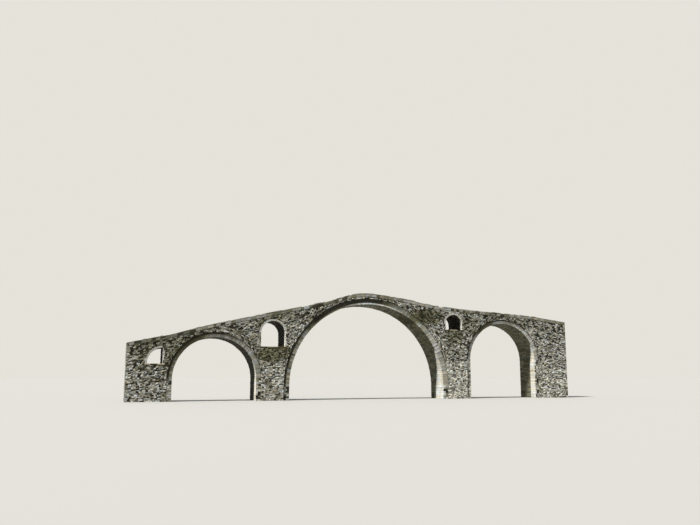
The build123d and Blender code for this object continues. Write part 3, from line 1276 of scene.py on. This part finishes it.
class BRIDGE_OT_relief_stones(Operator):
    """Lays the thin linings of the relief openings and the slabs of their sills"""

    bl_idname = "bridge.relief_stones"
    bl_label = "Line relief openings"

    def execute(self, context):
        lining_stone = stone_finish(
            "lining_stone", tint=(1.14, 1.14, 1.14), scour=0.0, variety=0.5, stained=0.25
        )
        sill_stone = stone_finish("sill_stone", tint=(1.05, 0.98, 0.84))
        size = sizes()
        for name in RELIEFS:
            chance = random.Random(name)
            vault = Vault((f"{name}_vault",), half=name == "left_end_relief")
            stones = vault.stones(chance, size.relief_row, size.lining_stone, LINING_TONES)
            finish_piece(f"{name}_stones", stones, lining_stone)
            slabs = self.sill_slabs(name, chance)
            finish_piece(f"{name}_sill_slabs", slabs, sill_stone)
        return {"FINISHED"}

    def sill_slabs(self, name, chance):
        """Flat slabs along the two edges and over the floor of an opening."""
        size = sizes()
        low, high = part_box(f"{name}_sill")
        mesh = bmesh.new()
        gap = size.joint / 2
        rows = spaced(low.y, high.y, SILL_WIDTH, chance, spread=0.2)
        for near, far in zip(rows, rows[1:]):
            y_from = near - size.proud * SILL_OVERSAIL if near == rows[0] else near + gap
            y_to = far + size.proud * SILL_OVERSAIL if far == rows[-1] else far - gap
            cuts = spaced(low.x, high.x, SILL_LENGTH, chance, spread=0.3)
            for start, end in zip(cuts, cuts[1:]):
                base = low.z + SILL_BED
                top = high.z + size.proud * chance.uniform(*SILL_RISE)
                add_block(mesh, (start + gap, y_from, base), (end - gap, y_to, top))
        dress_blocks(mesh, chance, BLOCK_WOBBLE)
        return mesh


class BRIDGE_OT_coping_slabs(Operator):
    """Lays the slabs along both edges of the road"""

    bl_idname = "bridge.coping_slabs"
    bl_label = "Lay coping slabs"

    def execute(self, context):
        material = stone_finish("coping_slab", tint=(0.81, 0.80, 0.76), variety=0.5)
        for side in ("front", "back"):
            for half in ("left", "right"):
                node = f"{side}_coping_{half}"
                slabs = self.slabs(node, side == "front")
                finish_piece(f"{node}_slabs", slabs, material, (node,))
        return {"FINISHED"}

    def slabs(self, node, front):
        """Uneven slabs, each with its own length, height and overhang; a few are gone."""
        size = sizes()
        chance = random.Random(node)
        low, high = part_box(node)
        thickness = coping_thickness(node)
        mesh = bmesh.new()
        gap = size.joint * COPING_JOINT
        cuts = spaced(low.x, high.x, size.slab, chance, spread=0.55)
        for start, end in zip(cuts, cuts[1:]):
            setback = chance.uniform(*COPING_SETBACK)
            y_from = low.y + (setback if front else 0)
            y_to = high.y - (0 if front else setback)
            top = thickness + chance.uniform(*COPING_THICKER)
            if chance.random() > size.lost_share * COPING_LOST:
                add_block(mesh, (start + gap, y_from, 0), (end - gap, y_to, top))
        dress_blocks(mesh, chance, SLAB_WOBBLE, lambda value, spot: toned(value, COPING_TONES))
        bend_to(mesh, lambda x, y, h: Vector((x, y, road_height(x) + h)))
        return mesh


def coping_thickness(node):
    """Thickness of the coping at its outer end, from the solid."""
    low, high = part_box(node)
    end = low.x if "left" in node else high.x
    points = [vertex.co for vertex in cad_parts[node].data.vertices]
    heights = [point.z for point in points if abs(point.x - end) < SAME]
    return max(heights) - min(heights)


class BRIDGE_OT_road_cobbles(Operator):
    """Paves the road with worn cobbles"""

    bl_idname = "bridge.road_cobbles"
    bl_label = "Pave the road"

    def execute(self, context):
        material = stone_finish("road_cobble", tint=(0.80, 0.78, 0.71), variety=0.4)
        size = sizes()
        for half in ("left", "right"):
            node = f"paving_{half}"
            name = f"road_cobbles_{half}"
            chance = random.Random(name)
            low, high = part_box(node)
            area = bmesh.new()
            bmesh.ops.create_grid(area, x_segments=1, y_segments=1, size=0.5)
            bmesh.ops.scale(area, vec=(high.y - low.y, high.x - low.x, 1), verts=area.verts)
            middle = ((low.y + high.y) / 2, (low.x + high.x) / 2, 0)
            bmesh.ops.translate(area, vec=middle, verts=area.verts)
            rows = spaced(low.x, high.x, size.cobble, chance, spread=0.25)
            pitch = size.cobble * COBBLE_LENGTH
            laid = lay_courses(area, rows, pitch, chance, thin_share=0, lean=0.3)
            area.free()
            wander(laid, *ROAD_WANDER)
            raise_stones(
                laid, chance, lambda value, spot: toned(value, COBBLE_TONES),
                COBBLE_PROUD, COBBLE_WEAR, COBBLE_ROUGHNESS,
            )
            bend_to(laid, lambda y, x, h: Vector((x, y, road_height(x) + h)))
            bmesh.ops.reverse_faces(laid, faces=laid.faces)
            finish_piece(name, laid, material)
        return {"FINISHED"}


class BRIDGE_OT_cutwater_stones(Operator):
    """Lays the blocks of the cutwaters and of their caps"""

    bl_idname = "bridge.cutwater_stones"
    bl_label = "Lay cutwater stones"

    def execute(self, context):
        material = stone_finish("cutwater_block", variety=0.6)
        size = sizes()
        for pier in ("left", "right"):
            for part in ("cutwater", "cutwater_cap"):
                node = f"{pier}_{part}"
                low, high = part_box(node)
                half_width = (high.x - low.x) / 2
                reach = high.y - low.y
                slope = 1 / (high.z - low.z) if part == "cutwater_cap" else 0
                name = f"{node}_stones"
                mesh = bmesh.new()
                for side in (-1, 1):
                    outward = (side / half_width, 1 / reach, slope)
                    stones = block_stones(
                        f"{name}{side}", [node], outward,
                        size.block_course, size.block, CUTWATER_TONES,
                    )
                    merge(mesh, stones)
                finish_piece(name, mesh, material)
        return {"FINISHED"}


class BRIDGE_OT_mortar(Operator):
    """Gives the solid masonry behind the stones the look of dark mortar"""

    bl_idname = "bridge.mortar"
    bl_label = "Finish the mortar"

    def execute(self, context):
        mortar = mortar_finish()
        wall_core = core_finish("wall_core", walled=True)
        paving_core = core_finish("paving_core", walled=False)
        for name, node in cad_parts.items():
            node.data.materials.clear()
            walls = any(word in name for word in ("spandrel", "pier", "abutment"))
            if "paving" in name:
                material = paving_core
            else:
                material = wall_core if walls and "relief" not in name else mortar
            node.data.materials.append(material)
        return {"FINISHED"}


# Studio: half the side of its floor, the key light, the even light of the sky, and the camera,
# with lengths in metres and the lens and its sensor in millimetres
FLOOR_REACH = 600
FLOOR_ROUGHNESS = 0.9
KEY_STRENGTH = 5.2
KEY_ANGLE = math.radians(5)
KEY_COLOUR = (1.0, 0.97, 0.91)
# Direction of the key light, from the shadows in the arches
TOWARD_KEY = Vector((-0.498, -0.181, 0.848))
SKY_STRENGTH = 0.42
SKY_COLOUR = (0.90, 0.96, 1.0)
CAMERA_PLACE = (-14.88, -41.85, 1.36)
CAMERA_TURN = Euler((math.radians(99.15), 0, math.radians(-18.65)))
CAMERA_REACH = 2000
SENSOR_WIDTH = 36
LENS = 36.43


class BRIDGE_OT_studio(Operator):
    """Sets up the floor, the light and the camera"""

    bl_idname = "bridge.studio"
    bl_label = "Set up the studio"

    def execute(self, context):
        self.floor()
        self.light()
        self.camera()
        context.scene.view_settings.view_transform = "Standard"
        return {"FINISHED"}

    def floor(self):
        """Pale floor that lights the bridge a little less than it shows."""
        mesh = bmesh.new()
        bmesh.ops.create_grid(mesh, x_segments=1, y_segments=1, size=FLOOR_REACH)
        data = mesh_data("floor", mesh)
        finish = Finish("studio_floor")
        colour = finish.mix(finish.seen(), colours().bounce, colours().floor)
        data.materials.append(finish.set(Base_Color=colour, Roughness=FLOOR_ROUGHNESS))
        floor = put("floor", data)
        floor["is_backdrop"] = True

    def light(self):
        """Soft sun from high on the left, and an even sky that lights from all round."""
        data = bpy.data.lights.new("key", "SUN")
        data.energy = KEY_STRENGTH
        data.angle = KEY_ANGLE
        data.color = KEY_COLOUR
        key = put("key", data)
        key.rotation_euler = TOWARD_KEY.to_track_quat("Z", "Y").to_euler()

        world = bpy.data.worlds.new("studio")
        bpy.context.scene.world = world
        world.use_nodes = True
        world.node_tree.nodes.clear()
        sky = NodeTree(world.node_tree)
        sky_light = {"Color": SKY_COLOUR, "Strength": SKY_STRENGTH}
        lit = sky.node("ShaderNodeBackground", {}, sky_light)
        backdrop = sky.node("ShaderNodeBackground", {}, {"Color": colours().background})
        either = sky.node("ShaderNodeMixShader", {}, {0: sky.seen(), 1: lit, 2: backdrop})
        out = world.node_tree.nodes.new("ShaderNodeOutputWorld")
        sky.feed(out.inputs["Surface"], either)

    def camera(self):
        """Camera with the photograph's view, from low down on the left."""
        data = bpy.data.cameras.new("camera")
        data.sensor_width = SENSOR_WIDTH
        data.lens = LENS
        data.clip_end = CAMERA_REACH
        camera = put("camera", data)
        camera.location = CAMERA_PLACE
        camera.rotation_euler = CAMERA_TURN
        bpy.context.scene.camera = camera


OPERATORS = (
    BRIDGE_OT_mortar,
    BRIDGE_OT_wall_stones,
    BRIDGE_OT_end_stones,
    BRIDGE_OT_arch_stones,
    BRIDGE_OT_relief_stones,
    BRIDGE_OT_coping_slabs,
    BRIDGE_OT_road_cobbles,
    BRIDGE_OT_cutwater_stones,
    BRIDGE_OT_studio,
)


class BRIDGE_PT_panel(Panel):
    """Lists the steps that dress the bridge"""

    bl_idname = "BRIDGE_PT_panel"
    bl_label = "Stone arch bridge"
    bl_space_type = "VIEW_3D"
    bl_region_type = "UI"
    bl_category = "Bridge"

    def draw(self, context):
        for operator in OPERATORS:
            self.layout.operator(operator.bl_idname)
        for group in (sizes(), colours()):
            box = self.layout.box()
            for name in group.__annotations__:
                box.prop(group, name)


CLASSES = (StoneSizes, StoneColours, *OPERATORS, BRIDGE_PT_panel)


def register():
    """Makes the settings, the operators and the panel known to Blender."""
    for cls in CLASSES:
        bpy.utils.register_class(cls)
    bpy.types.Scene.bridge_sizes = PointerProperty(type=StoneSizes)
    bpy.types.Scene.bridge_colours = PointerProperty(type=StoneColours)


def unregister():
    """Takes them away again."""
    del bpy.types.Scene.bridge_colours
    del bpy.types.Scene.bridge_sizes
    for cls in reversed(CLASSES):
        bpy.utils.unregister_class(cls)


def main():
    """Dresses the bridge and works out how large it is with and without its stones."""
    register()
    for operator in OPERATORS:
        group, name = operator.bl_idname.split(".")
        getattr(getattr(bpy.ops, group), name)()
    boxes = {"cad": CAD_BOX, "visual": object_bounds()}
    plain = {kind: [list(corner) for corner in box] for kind, box in boxes.items()}


if __name__ == "__main__":
    main()
